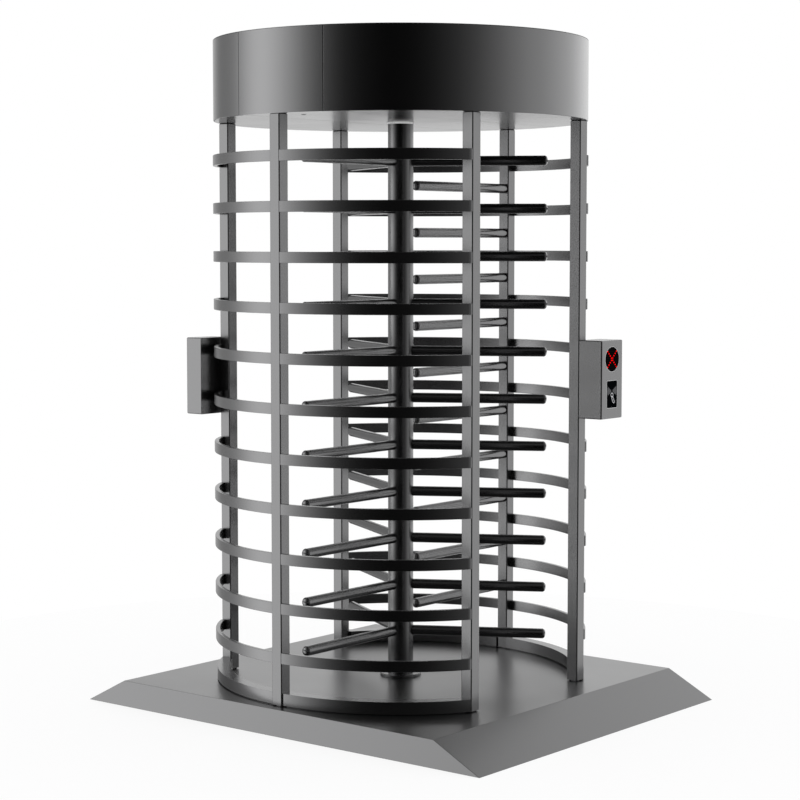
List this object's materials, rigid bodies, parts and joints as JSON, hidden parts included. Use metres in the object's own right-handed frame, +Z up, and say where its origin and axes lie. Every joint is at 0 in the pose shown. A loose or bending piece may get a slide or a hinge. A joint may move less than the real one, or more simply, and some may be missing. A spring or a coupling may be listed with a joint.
{
  "type": "full height turnstile",
  "caption": "Full height turnstile on a ramped platform: round cage of posts and curved bars, turning rotor with wings of arms, fixed comb, round canopy and reader boxes.",
  "frame": {"origin": "on the rotor axis, at the underside of the platform", "axes": "+Z up along the rotor axis; +X along the way through, out past the front reader; +Y towards the post that carries the comb"},
  "size_m": [1.802, 1.44, 2.409],
  "materials": {
    "floor_coat": "satin grey coat",
    "frame_coat": "satin anthracite metallic coat",
    "rotor_coat": "satin anthracite metallic coat",
    "canopy_coat": "semi-gloss anthracite coat",
    "soffit_coat": "satin light grey coat",
    "plain_steel": "brushed bare steel",
    "coil_copper": "dull copper winding in a yoke",
    "roller_rubber": "matt black",
    "black_plastic": "fine grained black",
    "lens_plastic": "glossy black"
  },
  "bodies": {
    "frame": {"base_platform": "floor_coat", "post_front_left": "frame_coat", "post_rear_left": "frame_coat", "post_front_right": "frame_coat", "post_rear_right": "frame_coat", "post_middle_left": "frame_coat", "post_middle_right": "frame_coat", "hoop_left_01": "frame_coat", "hoop_left_02": "frame_coat", "hoop_left_03": "frame_coat", "hoop_left_04": "frame_coat", "hoop_left_05": "frame_coat", "hoop_left_06": "frame_coat", "hoop_left_07": "frame_coat", "hoop_left_08": "frame_coat", "hoop_left_09": "frame_coat", "hoop_left_10": "frame_coat", "hoop_left_11": "frame_coat", "hoop_right_01": "frame_coat", "hoop_right_02": "frame_coat", "hoop_right_03": "frame_coat", "hoop_right_04": "frame_coat", "hoop_right_05": "frame_coat", "hoop_right_06": "frame_coat", "hoop_right_07": "frame_coat", "hoop_right_08": "frame_coat", "hoop_right_09": "frame_coat", "hoop_right_10": "frame_coat", "hoop_right_11": "frame_coat", "curb_front_right": "frame_coat", "curb_rear_right": "frame_coat", "curb_front_left": "frame_coat", "curb_rear_left": "frame_coat", "base_bearing": "rotor_coat", "head_plate": "soffit_coat", "canopy_fascia": "canopy_coat", "canopy_lid": "canopy_coat", "hatch_pin": "plain_steel", "head_frame": "plain_steel", "top_bearing": "rotor_coat", "entry_solenoid": "coil_copper", "exit_solenoid": "coil_copper", "control_box": "black_plastic", "front_reader_housing": "frame_coat", "front_reader_display": "lens_plastic", "front_reader_card_window": "lens_plastic", "rear_reader_housing": "frame_coat", "rear_reader_display": "lens_plastic", "rear_reader_card_window": "lens_plastic"},
    "rotor": {"rotor": "rotor_coat", "rotor_shaft": "plain_steel", "index_disc": "plain_steel"},
    "access_hatch": {"access_hatch": "canopy_coat"},
    "cam_lock": {"cam_lock": "plain_steel"},
    "roller_arm": {"roller_arm": "plain_steel"},
    "cam_roller": {"cam_roller": "roller_rubber"},
    "entry_pawl": {"entry_pawl": "plain_steel"},
    "exit_pawl": {"exit_pawl": "plain_steel"},
    "entry_plunger": {"entry_plunger": "plain_steel"},
    "exit_plunger": {"exit_plunger": "plain_steel"}
  },
  "joints": [
    {"name": "rotor_turn", "type": "hinge", "parent": "frame", "child": "rotor", "pos_m": [0, 0, 1], "axis": [0, 0, 1], "continuous": true},
    {"name": "hatch_swing", "type": "hinge", "parent": "frame", "child": "access_hatch", "pos_m": [-0.18434, -0.64622, 2.266], "axis": [0, 0, -1], "range_deg": [0, 100]},
    {"name": "cam_lock_turn", "type": "hinge", "parent": "frame", "child": "cam_lock", "pos_m": [0.014, -0.546, 2.13], "axis": [0, 0, -1], "range_deg": [0, 90]},
    {"name": "roller_arm_swing", "type": "hinge", "parent": "frame", "child": "roller_arm", "pos_m": [-0.109, -0.15, 2.25], "axis": [0, 0, -1], "range_deg": [0, 6]},
    {"name": "cam_roller_spin", "type": "hinge", "parent": "roller_arm", "child": "cam_roller", "pos_m": [-0.109, 0, 2.27], "axis": [0, 0, 1], "continuous": true},
    {"name": "entry_pawl_swing", "type": "hinge", "parent": "frame", "child": "entry_pawl", "pos_m": [0.14, -0.112, 2.25], "axis": [0, 0, 1], "range_deg": [0, 7.5], "stiffness_Nm_per_rad": 1, "springref_deg": -8.59},
    {"name": "exit_pawl_swing", "type": "hinge", "parent": "frame", "child": "exit_pawl", "pos_m": [-0.167, 0.06524, 2.25], "axis": [0, 0, -1], "range_deg": [0, 7.5], "stiffness_Nm_per_rad": 1, "springref_deg": -8.59},
    {"name": "entry_plunger_slide", "type": "slide", "parent": "frame", "child": "entry_plunger", "axis": [-1, 0, 0], "range_m": [0, 0.01375]},
    {"name": "exit_plunger_slide", "type": "slide", "parent": "frame", "child": "exit_plunger", "axis": [0.5, -0.866, 0], "range_m": [0, 0.01375]}
  ],
  "couplings": [
    {"joint": "entry_plunger_slide", "follows": "entry_pawl_swing", "m_per_rad": 0.105},
    {"joint": "exit_plunger_slide", "follows": "exit_pawl_swing", "m_per_rad": 0.105}
  ]
}
